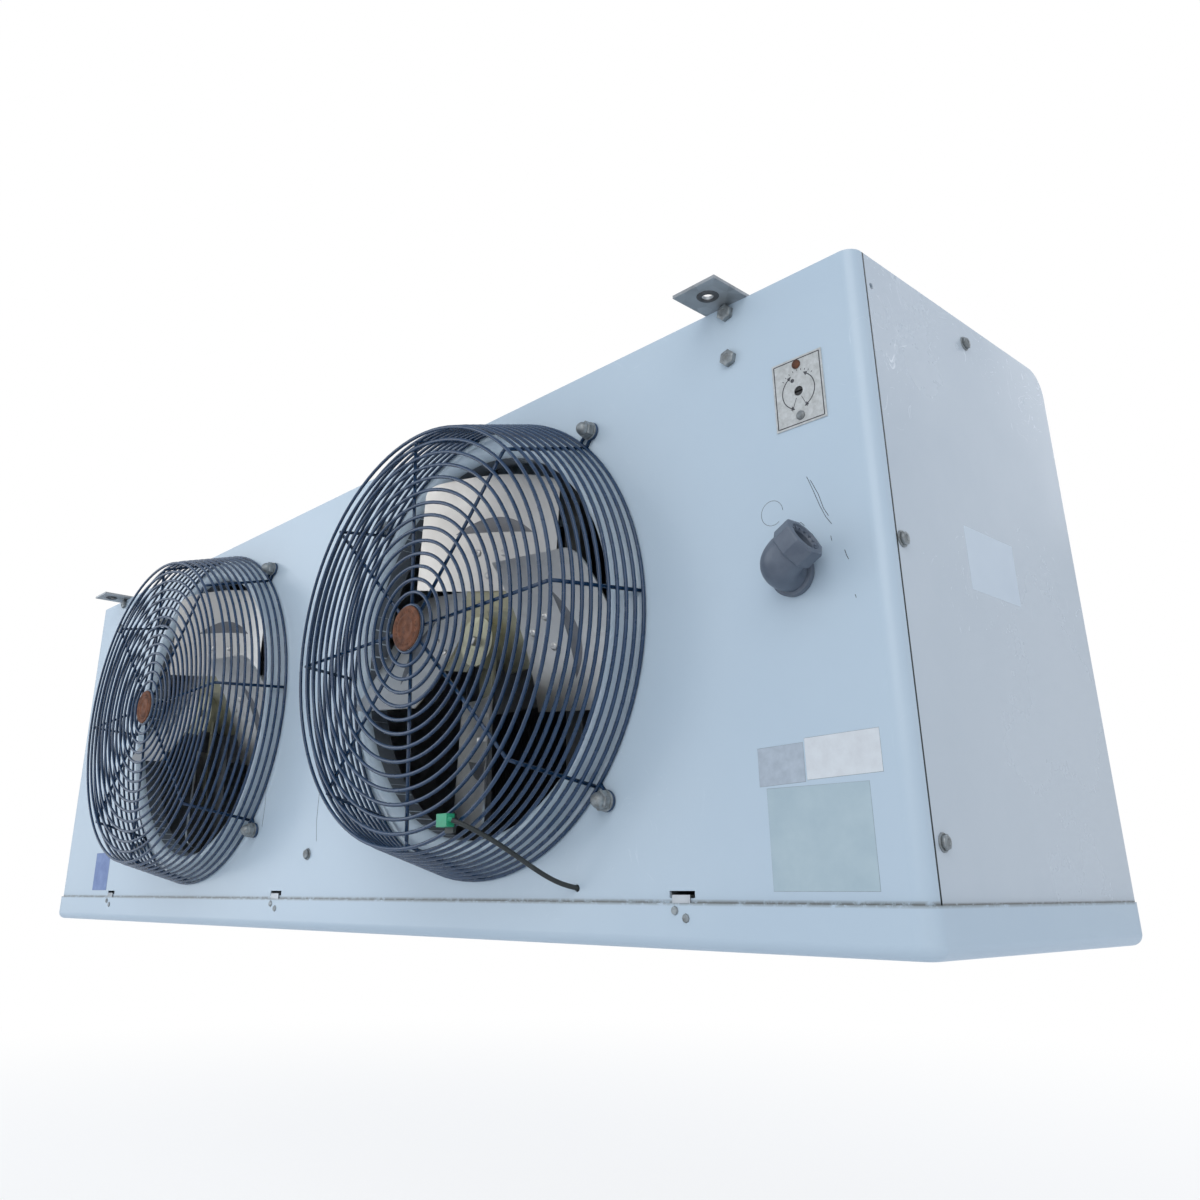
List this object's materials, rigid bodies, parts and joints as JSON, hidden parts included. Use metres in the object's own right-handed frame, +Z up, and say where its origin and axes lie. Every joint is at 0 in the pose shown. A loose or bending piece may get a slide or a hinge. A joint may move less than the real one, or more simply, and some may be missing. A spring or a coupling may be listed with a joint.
{
  "type": "unit cooler",
  "caption": "Low ceiling-hung evaporator for a cold room: fans behind wire guards, finned coil, drain pan that drops on its front edge.",
  "frame": {"origin": "middle of the four hanger holes, on the brackets' top faces", "axes": "+X to the unit's right seen from the front, -Y the way the fans blow, +Z up"},
  "size_m": [1.3108, 0.4245, 0.4431],
  "materials": {
    "white_paint": "glossy white baked paint, light scratches",
    "guard_coating": "dark navy glossy wire coating",
    "galvanised": "dull zinc with spangle",
    "bare_aluminium": "bare rolled sheet",
    "zinc_yellow": "yellow passivated zinc",
    "motor_black": "satin black enamel",
    "fin_aluminium": "thin fin stock, dusty",
    "copper_pipe": "dull tarnished copper",
    "screw_steel": "weathered zinc",
    "rusty_disc": "brown rust over pressed steel",
    "grey_plastic": "dark grey moulded plastic",
    "dial_foil": "brushed foil plate",
    "lead_sheath": "black sheath",
    "green_plastic": "green connector body",
    "shaft_steel": "ground steel"
  },
  "bodies": {
    "cabinet": {"coil_end_plate_left": "galvanised", "coil_end_plate_right": "galvanised", "coil_fins": "fin_aluminium", "conduit_elbow": "grey_plastic", "defrost_control": "motor_black", "dial_plate": "dial_foil", "dial_screws": "screw_steel", "divider_screw": "screw_steel", "elbow_locknut": "grey_plastic", "elbow_nut": "grey_plastic", "end_panel_left": "white_paint", "end_panel_right": "white_paint", "end_screws": "screw_steel", "fan_divider": "galvanised", "fan_motor_1": "motor_black", "fan_motor_2": "motor_black", "front_hangers": "galvanised", "front_panel": "white_paint", "guard_badges": "rusty_disc", "guard_grille_1": "guard_coating", "guard_grille_2": "guard_coating", "guard_nuts": "screw_steel", "guard_skirt_1": "guard_coating", "guard_skirt_2": "guard_coating", "hanger_bolts": "galvanised", "lead_clip": "lead_sheath", "lead_plug": "green_plastic", "liquid_line": "copper_pipe", "motor_mount_1": "galvanised", "motor_mount_2": "galvanised", "rear_cover_left": "white_paint", "rear_cover_right": "white_paint", "rear_hangers": "galvanised", "return_bends_left": "copper_pipe", "return_bends_right": "copper_pipe", "sensor_lead": "lead_sheath", "suction_header": "copper_pipe", "top_panel": "white_paint"},
    "fan_1": {"blade_rivets_1": "zinc_yellow", "fan_blades_1": "bare_aluminium", "fan_spider_1": "zinc_yellow", "motor_shaft_1": "shaft_steel"},
    "fan_2": {"blade_rivets_2": "zinc_yellow", "fan_blades_2": "bare_aluminium", "fan_spider_2": "zinc_yellow", "motor_shaft_2": "shaft_steel"},
    "pan": {"drain_pan": "white_paint", "drain_stub": "copper_pipe", "pan_hooks": "galvanised", "pan_rivets": "screw_steel"},
    "spindle": {"defrost_spindle": "shaft_steel"}
  },
  "joints": [
    {"name": "fan_1_spin", "type": "hinge", "parent": "cabinet", "child": "fan_1", "pos_m": [0.2779, -0.14, -0.205], "axis": [0, 1, 0], "continuous": true},
    {"name": "fan_2_spin", "type": "hinge", "parent": "cabinet", "child": "fan_2", "pos_m": [-0.2414, -0.14, -0.205], "axis": [0, 1, 0], "continuous": true},
    {"name": "pan_swing", "type": "hinge", "parent": "cabinet", "child": "pan", "pos_m": [0.01, -0.1394, -0.4075], "axis": [1, 0, 0], "range_deg": [-75, 0]},
    {"name": "spindle_turn", "type": "hinge", "parent": "cabinet", "child": "spindle", "pos_m": [0.6118, -0.14, -0.0911], "axis": [0, 1, 0], "range_deg": [-135, 135]}
  ]
}
